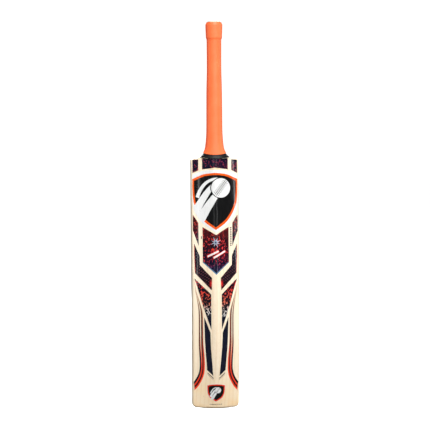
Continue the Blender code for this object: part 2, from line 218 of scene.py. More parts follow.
def between(p, q, r, s, t):
    """The value a share t of the way from q to r, on a smooth curve that also heeds p and s."""
    square, cube = 2 * p - 5 * q + 4 * r - s, 3 * q - p - 3 * r + s
    return 0.5 * (2 * q + (r - p) * t + square * t**2 + cube * t**3)


def smooth(points, steps=6):
    """More points on a smooth curve through the given ones, for an outline's round stretches."""
    ends = [points[0]] + list(points) + [points[-1]]
    curve = []
    for a, b, c, d in zip(ends, ends[1:], ends[2:], ends[3:]):
        for n in range(steps):
            t = n / steps
            curve.append(tuple(between(*values, t) for values in zip(a, b, c, d)))
    return curve + [points[-1]]


def both_halves(right):
    """A symmetric outline from its right half, which runs from one end of the centre line to the other."""
    return right + [(-x, z) for x, z in reversed(right) if x > 0]


def mirrored(outline):
    return [(-x, z) for x, z in outline]


# ---- meshes ----


def finish_mesh(bm, name, sharp=35.0):
    bmesh.ops.recalc_face_normals(bm, faces=bm.faces[:])
    mesh = bpy.data.meshes.new(name)
    bm.to_mesh(mesh)
    bm.free()
    mesh.shade_smooth()
    mesh.set_sharp_from_angle(angle=math.radians(sharp))
    obj = bpy.data.objects.new(name, mesh)
    bpy.context.scene.collection.objects.link(obj)
    return obj


def cut(bm, place, normal):
    geometry = bm.verts[:] + bm.edges[:] + bm.faces[:]
    bmesh.ops.bisect_plane(bm, geom=geometry, plane_co=place, plane_no=normal, dist=1e-4)


def cut_grid(bm):
    """Cut a flat mesh, in millimetres, along the lines of the blade's own mesh, so that sheets lie true."""
    xs = [vert.co.x for vert in bm.verts]
    zs = [vert.co.z for vert in bm.verts]
    steps = [n * CUT_X for n in range(2, int(BLADE_HALF_WIDTH / CUT_X) + 1)]
    rights = list(RIDGE_CUTS) + steps
    for x in sorted({side * right for right in rights for side in (-1, 1)}):
        if min(xs) < x < max(xs):
            cut(bm, (x, 0, 0), (1, 0, 0))
    for n in range(1, int(NECK_TOP / CUT_Z)):
        if min(zs) < n * CUT_Z < max(zs):
            cut(bm, (0, 0, n * CUT_Z), (0, 0, 1))


def outline_half():
    """The blade's outline seen from the front: toe, edge, shoulder and neck, up the right-hand side."""
    toe_half = along(HALF_WIDTHS, 0)
    corner_at = toe_half - TOE_CORNER_RADIUS
    xs = [corner_at * n / 8 for n in range(9)]
    xs += [corner_at + TOE_CORNER_RADIUS * math.sin(math.pi / 2 * n / 8) for n in range(1, 8)]
    toe = [(x, TOE_CROWN * (x / TOE_CROWN_AT) ** 2 + rounding(x, toe_half, TOE_CORNER_RADIUS)) for x in xs]
    edge = [(along(HALF_WIDTHS, z), z) for z in (14, 40, 80, 120, 180, 240, 300, 360, 420, 480, 520, 549)]
    corner = [(53.0, 551.4), (52.3, 553.3), (50.6, 554.7), (46.0, 555.9), (40.0, 556.9), (35.6, 557.8)]
    shoulder = smooth(corner, 3)
    neck = [(core_half_width(z), z) for z in (558.6, 559.6, 561, 562.8, 565, 568, 571, 575, NECK_TOP)]
    return toe + edge + shoulder + neck


def inward(points):
    """Unit normals pointing into a closed outline that runs anticlockwise."""
    normals = []
    for i in range(len(points)):
        (x0, z0), (x1, z1) = points[i - 1], points[(i + 1) % len(points)]
        size = math.hypot(x1 - x0, z1 - z0)
        normals.append((-(z1 - z0) / size, (x1 - x0) / size))
    return normals


def edge_radius(z):
    return EDGE_RADIUS + (SHOULDER_EDGE_RADIUS - EDGE_RADIUS) * ease(520, 545, z)


def blade_mesh():
    """The blade laid out flat with rounded rims, cut into a grid, then given its thickness and ridge."""
    half = outline_half()
    outline = half + [(-x, z) for x, z in reversed(half) if x > 0]
    normals = inward(outline)
    flat = 10.0
    bm = bmesh.new()
    rings = []
    turns = [math.pi / 2 * n / CORNER_STEPS for n in range(CORNER_STEPS + 1)]
    for side, order in ((1, turns), (-1, turns[::-1])):
        for turn in order:
            ring = []
            for (x, z), (nx, nz) in zip(outline, normals):
                radius = edge_radius(z)
                inset, drop = radius * (1 - math.sin(turn)), radius * (1 - math.cos(turn))
                ring.append(bm.verts.new((x + nx * inset, side * (flat - drop), z + nz * inset)))
            rings.append(ring)
    for one, two in zip(rings, rings[1:]):
        for i in range(len(one)):
            j = (i + 1) % len(one)
            bm.faces.new((one[i], one[j], two[j], two[i]))
    bm.faces.new(rings[0])
    bm.faces.new(rings[-1])
    cut_grid(bm)
    for vert in bm.verts:
        x, level, z = vert.co
        y = front_y(x, z) - (flat - level) if level > 0 else back_y(x, z) + (flat + level)
        roundness = ease(NECK_ROUND_LOW, NECK_ROUND_HIGH, z)
        if roundness > 0:
            oval_x, oval_y = oval_point(x, y, core_half_width(z), core_half_depth(z))
            x, y = x + (oval_x - x) * roundness, y + (oval_y - y) * roundness
        vert.co = (x * MM, y * MM, z * MM)
    big = [face for face in bm.faces if len(face.verts) > 4]
    bmesh.ops.triangulate(bm, faces=big)
    return finish_mesh(bm, "willow_blade")


def splice_cutter():
    side = SPLICE_HALF_WIDTH + GLUE_LINE
    slope = SPLICE_HALF_WIDTH / (SHOULDER_Z - SPLICE_TIP)
    tip = SPLICE_TIP - GLUE_LINE * math.hypot(1, slope) / slope
    top = NECK_TOP + 1
    outline = [(0, tip), (side, SHOULDER_Z), (side, top), (-side, top), (-side, SHOULDER_Z)]
    reach = 100.0
    bm = bmesh.new()
    face = bm.faces.new([bm.verts.new((x * MM, -reach * MM, z * MM)) for x, z in outline])
    made = bmesh.ops.extrude_face_region(bm, geom=[face])["geom"]
    moved_verts = [v for v in made if isinstance(v, bmesh.types.BMVert)]
    bmesh.ops.translate(bm, verts=moved_verts, vec=(0, 2 * reach * MM, 0))
    cutter = finish_mesh(bm, "splice_cutter")
    cutter.hide_render = True
    cutter.display_type = "WIRE"
    return cutter


def settle(obj, sharp=35.0):
    """Replace an object's mesh by what its modifiers make of it."""
    graph = bpy.context.evaluated_depsgraph_get()
    graph.update()
    made = bpy.data.meshes.new_from_object(obj.evaluated_get(graph))
    obj.modifiers.clear()
    obj.data = made
    made.shade_smooth()
    made.set_sharp_from_angle(angle=math.radians(sharp))


def sheet(name, outline, lift, thickness=VINYL_THICKNESS):
    """A closed vinyl sheet cut to the outline, in X and Z, and laid on the curved back, its top at lift."""
    bm = bmesh.new()
    face = bm.faces.new([bm.verts.new((x, 0, z)) for x, z in outline])
    made = bmesh.ops.extrude_face_region(bm, geom=[face])["geom"]
    moved_verts = [v for v in made if isinstance(v, bmesh.types.BMVert)]
    bmesh.ops.translate(bm, verts=moved_verts, vec=(0, thickness, 0))
    cut_grid(bm)
    for vert in bm.verts:
        x, level, z = vert.co
        edge = rounding(x, along(HALF_WIDTHS, z), edge_radius(z))
        vert.co = (x * MM, (back_y(x, z) + edge - lift + level) * MM, z * MM)
    big = [face for face in bm.faces if len(face.verts) > 4]
    bmesh.ops.triangulate(bm, faces=big)
    return finish_mesh(bm, name)


def tube(name, rings):
    """A closed sleeve: rings up the outside and down the inside, in millimetres."""
    bm = bmesh.new()
    rows = [[bm.verts.new([c * MM for c in point]) for point in ring] for ring in rings]
    for low, high in zip(rows, rows[1:] + rows[:1]):
        for i in range(len(low)):
            j = (i + 1) % len(low)
            bm.faces.new((low[i], low[j], high[j], high[i]))
    return finish_mesh(bm, name, 50.0)


def oval_ring(z, clearance, dip=0.0):
    """A ring round the handle, its front and back hanging lower than its sides by dip."""
    ring = []
    for n in range(OVAL_SEGMENTS):
        angle = 2 * math.pi * n / OVAL_SEGMENTS
        at = z - dip * math.sin(angle) ** 2
        width, depth = core_half_width(at) + clearance, core_half_depth(at) + clearance
        ring.append((width * math.cos(angle), HANDLE_Y + depth * math.sin(angle), at))
    return ring


# ---- materials ----


class Shader:
    """A Principled material whose nodes are added one by one."""

    def __init__(self, name, roughness=0.5, coat=0.0, coat_roughness=0.1, specular=0.5):
        self.material = bpy.data.materials.new(name)
        self.material.use_nodes = True
        self.tree = self.material.node_tree
        self.shader = self.tree.nodes["Principled BSDF"]
        self.shader.inputs["Roughness"].default_value = roughness
        self.shader.inputs["Coat Weight"].default_value = coat
        self.shader.inputs["Coat Roughness"].default_value = coat_roughness
        self.shader.inputs["Specular IOR Level"].default_value = specular
        self.place = self.add("ShaderNodeTexCoord").outputs["Object"]
        self.point = self.stretched(1 / MM, 1 / MM, 1 / MM)
        self.x, self.y, self.z = self.add("ShaderNodeSeparateXYZ", {"Vector": self.point}).outputs

    def add(self, kind, inputs=None, **settings):
        node = self.tree.nodes.new(kind)
        for key, value in settings.items():
            setattr(node, key, value)
        for key, value in (inputs or {}).items():
            if isinstance(value, bpy.types.NodeSocket):
                self.tree.links.new(value, node.inputs[key])
            else:
                node.inputs[key].default_value = value
        return node

    def stretched(self, x, y, z, vector=None):
        source = vector or self.place
        return self.add("ShaderNodeMapping", {"Vector": source, "Scale": (x, y, z)}).outputs["Vector"]

    def maths(self, operation, a, b=0.0, clamp=False):
        return self.add("ShaderNodeMath", {0: a, 1: b}, operation=operation, use_clamp=clamp).outputs[0]

    def noise(self, scale, vector=None, detail=3.0, roughness=0.5):
        inputs = {"Vector": vector or self.point, "Scale": scale, "Detail": detail, "Roughness": roughness}
        return self.add("ShaderNodeTexNoise", inputs).outputs["Fac"]

    def cells(self, scale, vector=None, feature="F1", output="Distance", randomness=1.0):
        inputs = {"Vector": vector or self.point, "Scale": scale, "Randomness": randomness}
        return self.add("ShaderNodeTexVoronoi", inputs, feature=feature).outputs[output]

    def ranged(self, value, low, high, start=0.0, end=1.0, kind="SMOOTHSTEP"):
        inputs = {"Value": value, "From Min": low, "From Max": high, "To Min": start, "To Max": end}
        return self.add("ShaderNodeMapRange", inputs, interpolation_type=kind).outputs["Result"]

    def mixed(self, amount, first, second, blend="MIX"):
        node = self.add("ShaderNodeMix", {"Factor": amount}, data_type="RGBA", blend_type=blend)
        for index, value in ((6, first), (7, second)):
            if isinstance(value, bpy.types.NodeSocket):
                self.tree.links.new(value, node.inputs[index])
            else:
                node.inputs[index].default_value = value
        return node.outputs[2]

    def by_height(self, stops):
        """A colour that changes with height: stops are (millimetres above the toe, colour)."""
        low, high = stops[0][0], stops[-1][0]
        share = self.ranged(self.z, low, high, kind="LINEAR")
        ramp = self.add("ShaderNodeValToRGB", {"Fac": share})
        elements = ramp.color_ramp.elements
        for n, (z, colour) in enumerate(stops):
            element = elements[n] if n < 2 else elements.new(1.0)
            element.position = (z - low) / (high - low)
            element.color = colour
        return ramp.outputs["Color"]

    def colour(self, value):
        self.tree.links.new(value, self.shader.inputs["Base Color"])

    def rough(self, value):
        self.tree.links.new(value, self.shader.inputs["Roughness"])

    def bump(self, height, depth_mm, strength=1.0):
        """Relief from a height of 0 to 1 that stands for so many millimetres."""
        inputs = {"Height": height, "Distance": depth_mm * MM, "Strength": strength}
        normal = self.add("ShaderNodeBump", inputs).outputs["Normal"]
        self.tree.links.new(normal, self.shader.inputs["Normal"])


def willow():
    """Pressed and oiled willow: straight grain lines up the blade, fine fibre, and a tan toe."""
    s = Shader("willow", roughness=0.42, coat=0.25, coat_roughness=0.3, specular=0.35)
    wander = s.maths("MULTIPLY", s.maths("SUBTRACT", s.noise(0.006, s.stretched(1000, 1000, 350)), 0.5), 7.0)
    across = s.maths("ADD", s.maths("ADD", s.x, s.maths("MULTIPLY", s.y, 0.22)), wander)
    line = s.maths("MULTIPLY", across, 2 * math.pi / 9.0)
    ring = s.maths("POWER", s.maths("MULTIPLY", s.maths("ADD", s.maths("SINE", line), 1.0), 0.5), 7.0)
    fibre = s.noise(1.0, s.stretched(1500, 1500, 14), 4.0, 0.6)
    cloud = s.noise(0.018, s.stretched(1000, 1000, 280))
    colour = s.mixed(s.maths("MULTIPLY", ring, 0.34), WOOD, srgb(216, 180, 132))
    colour = s.mixed(s.ranged(fibre, 0.4, 0.72, 0.0, 0.30), colour, srgb(222, 192, 150))
    colour = s.mixed(s.ranged(cloud, 0.38, 0.68, 0.0, 0.45), colour, srgb(249, 238, 216))
    toe = s.maths("MULTIPLY", s.ranged(s.z, 95, 0), s.ranged(s.noise(0.03), 0.3, 0.7, 0.35, 1.0))
    colour = s.mixed(s.maths("MULTIPLY", toe, 0.6), colour, srgb(255, 212, 146))
    speck = s.maths("LESS_THAN", s.cells(1.0, s.stretched(60, 60, 14)), 0.035)
    colour = s.mixed(s.maths("MULTIPLY", speck, 0.4), colour, srgb(170, 120, 76))
    s.colour(stippled(s, colour))
    s.rough(s.ranged(fibre, 0.3, 0.8, 0.36, 0.5))
    s.bump(s.maths("ADD", s.maths("MULTIPLY", fibre, 0.6), s.maths("MULTIPLY", ring, 0.4)), 0.06, 0.5)
    return s.material


def stippled(s, colour):
    """The faint stipple printed on the bare strip along the lower spine."""
    dots = s.ranged(s.cells(0.42, randomness=0.55), 0.34, 0.2)
    inside = s.ranged(s.maths("ABSOLUTE", s.x), 10.5, 8.0)
    low = s.ranged(s.z, 50, 70)
    high = s.ranged(s.z, 320, 280)
    behind = s.ranged(s.y, 0.0, -2.0)
    mask = s.maths("MULTIPLY", s.maths("MULTIPLY", inside, behind), s.maths("MULTIPLY", low, high))
    return s.mixed(s.maths("MULTIPLY", s.maths("MULTIPLY", dots, mask), 0.30), colour, srgb(196, 160, 118))


def cane():
    """Split cane: tan, with dark pores that run along it and show as dots on the sawn butt."""
    s = Shader("cane", roughness=0.55, coat=0.1)
    pores = s.cells(1.0, s.stretched(1600, 1600, 26))
    fibre = s.noise(1.0, s.stretched(2200, 2200, 16), 3.0)
    colour = s.mixed(s.ranged(fibre, 0.35, 0.7), srgb(240, 220, 184), srgb(228, 200, 156))
    colour = s.mixed(s.ranged(pores, 0.28, 0.14, 0.0, 0.5), colour, srgb(158, 118, 72))
    s.colour(colour)
    s.bump(s.ranged(pores, 0.16, 0.32), 0.08, 0.6)
    return s.material


def insert_rubber():
    s = Shader("insert_rubber", roughness=0.8)
    grit = s.noise(2.2)
    s.colour(s.mixed(grit, srgb(26, 26, 27), srgb(58, 57, 56)))
    s.bump(grit, 0.1)
    return s.material


def twine():
    """Linen twine wound close round the cane, with painted shade in the grooves between turns."""
    s = Shader("twine", roughness=0.85)
    thread = s.maths("SINE", s.maths("MULTIPLY", s.z, 2 * math.pi / THREAD_PITCH))
    fuzz = s.noise(3.0)
    # Painted shade: the colour darkens towards the grooves between turns, where the bump is low.
    colour = s.mixed(s.ranged(thread, -1.0, 0.6), srgb(150, 132, 100), srgb(222, 208, 174))
    s.colour(s.mixed(s.maths("MULTIPLY", fuzz, 0.4), colour, srgb(190, 170, 130)))
    s.bump(s.ranged(thread, -1.0, 1.0), 0.25)
    return s.material


def black_binding():
    """Waxed black thread: each turn twisted, with a soft shine."""
    s = Shader("black_binding", roughness=0.38, coat=0.1, coat_roughness=0.25, specular=0.25)
    twist = s.noise(1.0, s.stretched(900, 900, 3200), 2.0)
    s.colour(s.mixed(s.ranged(twist, 0.3, 0.7), srgb(8, 8, 9), srgb(26, 26, 28)))
    s.rough(s.ranged(twist, 0.3, 0.7, 0.3, 0.5))
    s.bump(twist, 0.08)
    return s.material


def grip_rubber():
    """Moulded orange rubber with fine matt grain, and a painted red glow of its own that keeps its shaded rims
    vivid red.
    """
    s = Shader("grip_rubber", roughness=0.5, specular=0.5)
    grain = s.noise(1.6, detail=4.0)
    cloud = s.noise(0.035)
    colour = s.mixed(s.ranged(cloud, 0.35, 0.7), srgb(212, 112, 60), srgb(216, 120, 68))
    s.colour(s.mixed(s.maths("MULTIPLY", grain, 0.25), colour, srgb(200, 98, 52)))
    # Painted glow: a red emission, not a lamp, that lifts the red of the shaded rims.
    s.shader.inputs["Emission Color"].default_value = (1.0, 0.052, 0.006, 1.0)
    s.shader.inputs["Emission Strength"].default_value = 0.4
    s.rough(s.ranged(grain, 0.3, 0.7, 0.44, 0.58))
    s.bump(grain, 0.05, 0.6)
    return s.material


def vinyl(name, colour, shade=0.06):
    """Printed gloss vinyl of one colour, with the faint mottle of ink over wood grain."""
    s = Shader(name, roughness=0.17, coat=0.3, coat_roughness=0.06, specular=0.2)
    mottle = s.noise(1.0, s.stretched(500, 500, 60), 3.0)
    darker = (*[c * (1 - 4 * shade) for c in colour[:3]], 1.0)
    lighter = (*[min(c * (1 + shade) + 0.004, 1.0) for c in colour[:3]], 1.0)
    s.colour(s.mixed(s.ranged(mottle, 0.25, 0.75), darker, lighter))
    s.rough(s.ranged(mottle, 0.3, 0.7, 0.14, 0.2))
    s.bump(s.noise(0.25), 0.05, 0.4)
    return s.material


def crackle(name, ground, lines, scale=0.24, width=0.12, share=0.5, fine=0.35):
    """Print of broken bright cracks over a dark ground. ground and lines are colours by height."""
    s = Shader(name, roughness=0.17, coat=0.3, coat_roughness=0.06, specular=0.2)
    warp = s.add("ShaderNodeTexNoise", {"Vector": s.point, "Scale": 0.3, "Detail": 2.0}).outputs["Color"]
    shift = s.add("ShaderNodeVectorMath", {0: warp, 1: (-0.5, -0.5, -0.5)}, operation="ADD").outputs[0]
    shift = s.add("ShaderNodeVectorMath", {0: shift, "Scale": 4.0}, operation="SCALE").outputs[0]
    bent = s.add("ShaderNodeVectorMath", {0: s.point, 1: shift}, operation="ADD").outputs[0]
    turn = {"Vector": bent, "Rotation": (0.0, 0.7, 0.0), "Scale": (1.0, 1.0, 0.7)}
    place = s.add("ShaderNodeMapping", turn).outputs["Vector"]
    crack = s.ranged(s.cells(scale, place, "DISTANCE_TO_EDGE"), width, width * 0.6)
    broken = s.ranged(s.noise(0.26, place, 1.0), 0.58 - 0.12 * share, 0.6 - 0.12 * share)
    hair = s.ranged(s.cells(scale * 2.2, place, "DISTANCE_TO_EDGE"), 0.1, 0.04, 0.0, fine)
    patch = s.ranged(s.noise(0.09, detail=2.0), 0.42, 0.6)
    strong = s.maths("MULTIPLY", crack, broken)
    mask = s.maths("MAXIMUM", strong, s.maths("MULTIPLY", hair, patch))
    s.colour(s.mixed(mask, s.by_height(ground), s.by_height(lines)))
    s.bump(s.noise(0.25), 0.05, 0.4)
    return s.material


def netting(name):
    """Near-black print with a fine slanted net of dull dots, and a red glow at its lower inner end."""
    s = Shader(name, roughness=0.17, coat=0.3, coat_roughness=0.06, specular=0.2)
    side = s.maths("ABSOLUTE", s.x)
    lines = []
    for slope, pitch in ((0.9, 6.2), (-0.6, 6.8)):
        run = s.maths("ADD", s.maths("MULTIPLY", side, slope), s.z)
        wave = s.maths("SINE", s.maths("MULTIPLY", run, 2 * math.pi / pitch))
        lines.append(s.ranged(wave, 0.35, 0.75))
    net = s.maths("MAXIMUM", s.maths("MULTIPLY", lines[0], lines[1]), s.maths("MULTIPLY", lines[0], 0.08))
    patch = s.ranged(s.noise(0.07, detail=2.0), 0.3, 0.6, 0.3, 0.9)
    ground = s.mixed(s.ranged(s.noise(0.08), 0.35, 0.7), srgb(4, 4, 12), srgb(9, 7, 22))
    ink = s.mixed(s.ranged(s.z, 300, 345), srgb(150, 84, 92), srgb(104, 96, 122))
    colour = s.mixed(s.maths("MULTIPLY", net, patch), ground, ink)
    height = s.ranged(s.maths("ABSOLUTE", s.maths("ADD", s.z, -279.0)), 11, 1)
    near = s.maths("MULTIPLY", s.ranged(side, 17, 10.5), height)
    cells = s.ranged(s.cells(0.3, feature="DISTANCE_TO_EDGE"), 0.22, 0.1, 0.25, 1.0)
    s.colour(s.mixed(s.maths("MULTIPLY", near, cells, True), colour, srgb(225, 36, 36)))
    return s.material


def fading(name, stops):
    """Ink that fades into the willow as it runs up the blade."""
    s = Shader(name, roughness=0.2, coat=0.2, coat_roughness=0.08, specular=0.2)
    ink = s.by_height(stops)
    fibre = s.noise(1.0, s.stretched(1500, 1500, 14), 4.0, 0.6)
    s.colour(s.mixed(s.ranged(fibre, 0.5, 0.8, 0.0, 0.06), ink, srgb(222, 192, 150)))
    return s.material


def backdrop(name, glow):
    """White studio paper, lit of its own so that it stays white in shade."""
    s = Shader(name, roughness=0.9, specular=0.1)
    s.colour(s.mixed(s.noise(0.004), srgb(250, 250, 250), srgb(255, 255, 255)))
    s.shader.inputs["Emission Color"].default_value = (1.0, 1.0, 1.0, 1.0)
    s.shader.inputs["Emission Strength"].default_value = glow
    return s.material


# ---- pieces ----


def place(obj, material, slot, *nodes):
    """Give a piece its material, hang it on the body, and hide the CAD nodes that it replaces."""
    obj.data.materials.clear()
    obj.data.materials.append(material)
    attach(obj, BODY)
    if nodes:
        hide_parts(*nodes)


def build_blade():
    blade = blade_mesh()
    slot = blade.modifiers.new("Splice", "BOOLEAN")
    slot.operation = "DIFFERENCE"
    slot.solver = "EXACT"
    slot.object = splice_cutter()
    settle(blade)
    place(blade, willow(), "willow", "blade")


def finish_cad_nodes():
    """The cane, the rubber strips and the twine keep their CAD shapes and get real surfaces."""
    looks = {"cane": cane(), "rubber_strip": insert_rubber(), "twine_binding": twine()}
    for name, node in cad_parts.items():
        for start, material in looks.items():
            if name.startswith(start):
                node.data.materials.clear()
                node.data.materials.append(material)


def binding_outside(z):
    return BINDING_CLEARANCE + BINDING_WALL + (HANDLE_WRAP - BINDING_CLEARANCE - BINDING_WALL) * ease(
        NECK_TOP, BINDING_TOP, z
    )


def build_neck_binding():
    """Thread wound from the shoulders up the neck, its lowest turns dipping at the front and back."""
    low, high = BINDING_BOTTOM, BINDING_TOP
    turns = int((high - low) / THREAD_PITCH)
    steps = 4
    outer = []
    for n in range(turns * steps + 1):
        z = low + (high - low) * n / (turns * steps)
        swell = THREAD_HEIGHT * abs(math.sin(math.pi * n / steps))
        dip = BINDING_DIP * (1 - ease(low, low + BINDING_DIP_HEIGHT, z))
        outer.append(oval_ring(z, binding_outside(z) - THREAD_HEIGHT + swell, dip))
    inner_heights = (high, 585, 574, 566, 562, low)
    inner_dips = [BINDING_DIP * (1 - ease(low, low + BINDING_DIP_HEIGHT, z)) for z in inner_heights]
    inner = [oval_ring(z, BINDING_CLEARANCE, dip) for z, dip in zip(inner_heights, inner_dips)]
    place(tube("neck_thread", outer + inner), black_binding(), "black_binding", "neck_binding")


def grip_inside(z):
    share = ease(NECK_TOP, BINDING_TOP, z)
    return NECK_GRIP_CLEARANCE + (HANDLE_GRIP_CLEARANCE - NECK_GRIP_CLEARANCE) * share


def grip_outside(z):
    share = ease(NECK_TOP, BINDING_TOP, z)
    wall = NECK_GRIP_WALL + (HANDLE_GRIP_WALL - NECK_GRIP_WALL) * share
    cuff = CUFF_EXTRA * ease(CUFF_BOTTOM, CUFF_BOTTOM + 6, z)
    rim = RIM_INSET * ease(CUFF_TOP - 2, GRIP_TOP, z) ** 1.6
    ribs = RIB_HEIGHT * ease(610, 622, z) * (1 - ease(808, 816, z))
    return grip_inside(z) + wall + cuff - rim + ribs * (0.5 + 0.5 * math.cos(2 * math.pi * z / RIB_PITCH))


def build_grip():
    """The rubber sleeve: a rounded, drooping lower rim, shallow ribs along the hold, and the rolled cuff."""
    step = RIB_PITCH / 6
    count = int((GRIP_TOP - GRIP_BOTTOM) / step)
    heights = [GRIP_BOTTOM + (GRIP_TOP - GRIP_BOTTOM) * n / count for n in range(count + 1)]
    dip = [GRIP_DIP * (1 - ease(GRIP_BOTTOM, GRIP_BOTTOM + GRIP_DIP_HEIGHT, z)) for z in heights]
    rims = [grip_outside(z) - 0.5 * (1 - ease(-0.1, 1.4, z - GRIP_BOTTOM)) for z in heights]
    outer = [oval_ring(z, rim, d) for z, rim, d in zip(heights, rims, dip)]
    inner = [oval_ring(z, grip_inside(z), d) for z, d in list(zip(heights, dip))[::-6]]
    place(tube("grip_sleeve", outer + inner), grip_rubber(), "grip_rubber", "grip")


def lay(name, outline, material, slot, *nodes, layer=0):
    """Lay one printed layer on the back of the blade."""
    lift = BASE_LIFT + LAYER_STEP * layer
    thickness = VINYL_THICKNESS if layer == 0 else LAYER_STEP * 0.8
    place(sheet(name, outline, lift, thickness), material, slot, *nodes)


def lay_pair(name, outline, material, slot, node=None, layer=0):
    for side, points in (("right", outline), ("left", mirrored(outline))):
        nodes = [f"{node}_{side}"] if node else []
        lay(f"{name}_{side}", points, material, slot, *nodes, layer=layer)


def shield_half(top, corner, side):
    """The right half of a shield: an arched top from the centre line to the corner, then the curved side."""
    return smooth([(0, top[0]), (corner[0] * 0.52, top[1]), corner], 4)[:-1] + smooth([corner] + side, 5)


def disc(cx, cz, radius, steps=64):
    turns = [2 * math.pi * n / steps for n in range(steps)]
    return [(cx + radius * math.cos(a), cz + radius * math.sin(a)) for a in turns]


def moved(outline, cx, cz, scale):
    return [(cx + x * scale, cz + z * scale) for x, z in outline]


def ribbon(start, bend, end, start_width, end_width, steps=14):
    """A band that sweeps along a curve from start to end, and widens on the way."""
    one, two = [], []
    for n in range(steps + 1):
        t = n / steps
        x, z = (a * (1 - t) ** 2 + 2 * b * t * (1 - t) + c * t * t for a, b, c in zip(start, bend, end))
        dx, dz = (2 * (b - a) * (1 - t) + 2 * (c - b) * t for a, b, c in zip(start, bend, end))
        half = (start_width + (end_width - start_width) * t) / 2 / math.hypot(dx, dz)
        one.append((x - dz * half, z + dx * half))
        two.append((x + dz * half, z - dx * half))
    return one + two[::-1]


# A ball with three ribbons of speed behind it: start, bend and end about the ball's centre, then widths, in
# ball radiuses.
RIBBONS = (
    ((-0.09, 0.93), (-1.77, 1.07), (-2.40, -0.98), 0.23, 0.37),
    ((-0.56, 0.42), (-1.30, -0.05), (-2.44, -2.19), 0.37, 0.79),
    ((-0.33, -0.51), (-1.02, -1.35), (-2.02, -3.07), 0.56, 0.93),
)
BALL_RIM = 1.09
SEAM_TILT = math.radians(52)


def seam_strokes():
    """A ball's raised seam seen side on: two straight threads, with rows of short stitches outside."""
    strokes = [[(-0.93, low), (0.93, low), (0.93, low + 0.07), (-0.93, low + 0.07)] for low in (-0.12, 0.05)]
    for n in range(9):
        x = -0.76 + 0.19 * n
        for z in (-0.32, 0.19):
            strokes.append([(x - 0.03, z), (x + 0.03, z), (x + 0.03, z + 0.13), (x - 0.03, z + 0.13)])
    turn, aside = math.cos(SEAM_TILT), math.sin(SEAM_TILT)
    return [[(x * turn - z * aside, x * aside + z * turn) for x, z in outline] for outline in strokes]


def lay_ball(name, cx, cz, radius, white, black, layer):
    for n, band in enumerate(RIBBONS):
        lay(f"{name}_ribbon_{n}", moved(ribbon(*band), cx, cz, radius), white, "label_white", layer=layer)
    rim = moved(disc(0, 0, BALL_RIM), cx, cz, radius)
    lay(f"{name}_ball_rim", rim, black, "label_white", layer=layer + 1)
    lay(f"{name}_ball", moved(disc(0, 0, 1.0), cx, cz, radius), white, "label_white", layer=layer + 2)
    for n, stroke in enumerate(seam_strokes()):
        lay(f"{name}_seam_{n}", moved(stroke, cx, cz, radius), black, "label_white", layer=layer + 3)


def build_shield(white, orange, black):
    side = [(50.2, 480), (49, 447), (41, 429), (28.5, 412), (0, 391)]
    outer = both_halves(shield_half((531.5, 529), (50.2, 521), side))
    lay("shield_border", outer, white, "label_white", "shield_label")
    side = [(49.9, 484), (47.5, 459), (41, 441), (33, 426.5), (21.5, 413), (0, 398)]
    band = both_halves(shield_half((524.5, 521), (50.2, 510.5), side))
    lay("shield_band", band, orange, "label_white", layer=1)
    side = [(46.2, 484), (43.8, 461), (37.5, 443.5), (30, 430.5), (19.5, 418), (0, 403.5)]
    field = both_halves(shield_half((520, 516.7), (46.8, 506.5), side))
    lay("shield_field", field, black, "label_white", layer=2)
    gap = [
        (-48.3, 451), (-44, 440.5), (-36.5, 427.5), (-26.5, 415.8), (-21.6, 421), (-30, 433), (-38, 446),
        (-42, 456),
    ]
    lay("shield_gap", gap, white, "label_white", layer=3)
    lay_ball("shield", 12.0, 491.0, 21.5, white, black, 4)


def build_badge(white, red, black):
    side = [(20, 41), (18.3, 32), (13.3, 23.3), (0, 14.8)]
    border = both_halves(shield_half((55.5, 54.8), (20.3, 53), side))
    lay("badge_border", border, white, "label_white", "toe_badge")
    side = [(19.3, 41), (17.6, 32.4), (12.8, 24), (0, 15.6)]
    lay("badge_band", both_halves(shield_half((54.8, 54.1), (19.6, 52.4), side)), red, "label_white", layer=1)
    side = [(16.8, 41), (15.3, 33.6), (11, 26.2), (0, 18.8)]
    field = both_halves(shield_half((52.2, 51.6), (17.1, 50), side))
    lay("badge_field", field, black, "label_white", layer=2)
    lay_ball("badge", 4.2, 41.4, 6.8, white, black, 3)


def build_shoulder_labels():
    ground = [(520, srgb(13, 12, 34)), (556, srgb(9, 10, 34))]
    lines = [(520, srgb(196, 62, 66)), (556, srgb(140, 48, 76))]
    look = crackle("shoulder_print", ground, lines, scale=0.25, width=0.1, share=0.1, fine=0.1)
    outer = [(36.75, 553.9), (36.75, 530), (49.75, 524), (49.75, 553.4)]
    lay_pair("shoulder_vinyl", outer, look, "label_navy", "shoulder_label")
    centre = both_halves([(0, 557.0), (28.6, 556.3), (28.6, 532), (0, 536)])
    lay("shoulder_vinyl_centre", centre, look, "label_navy", "shoulder_label_centre")


def build_upper_panels():
    ground = [(362, srgb(8, 9, 38)), (385, srgb(14, 8, 30)), (403, srgb(38, 8, 16)), (432, srgb(70, 14, 18))]
    lines = [
        (362, srgb(44, 30, 74)), (385, srgb(150, 44, 56)), (405, srgb(196, 58, 52)), (432, srgb(204, 76, 56)),
    ]
    look = crackle("upper_panel_print", ground, lines, scale=0.24, width=0.12, share=0.2, fine=0.12)
    outline = [(49.75, 432), (37.75, 413.5), (37.4, 362), (50, 397)]
    lay_pair("upper_panel_vinyl", outline, look, "label_navy", "upper_panel")


def star(cx, cz, reach, points, waist=0.34, turn=0.0):
    """A pointed star, whose rays reach out by turns all the way and most of the way."""
    outline = []
    for n in range(2 * points):
        angle = math.pi * n / points + turn
        size = waist if n % 2 else (1.0 if n % 4 == 0 else 0.8)
        outline.append((cx + reach * size * math.cos(angle), cz + reach * size * math.sin(angle)))
    return outline


def slanted_bar(x0, z0, x1, z1, thickness):
    return [(x0, z0), (x1, z1), (x1 - 1.2, z1 + thickness), (x0 - 1.2, z0 + thickness)]


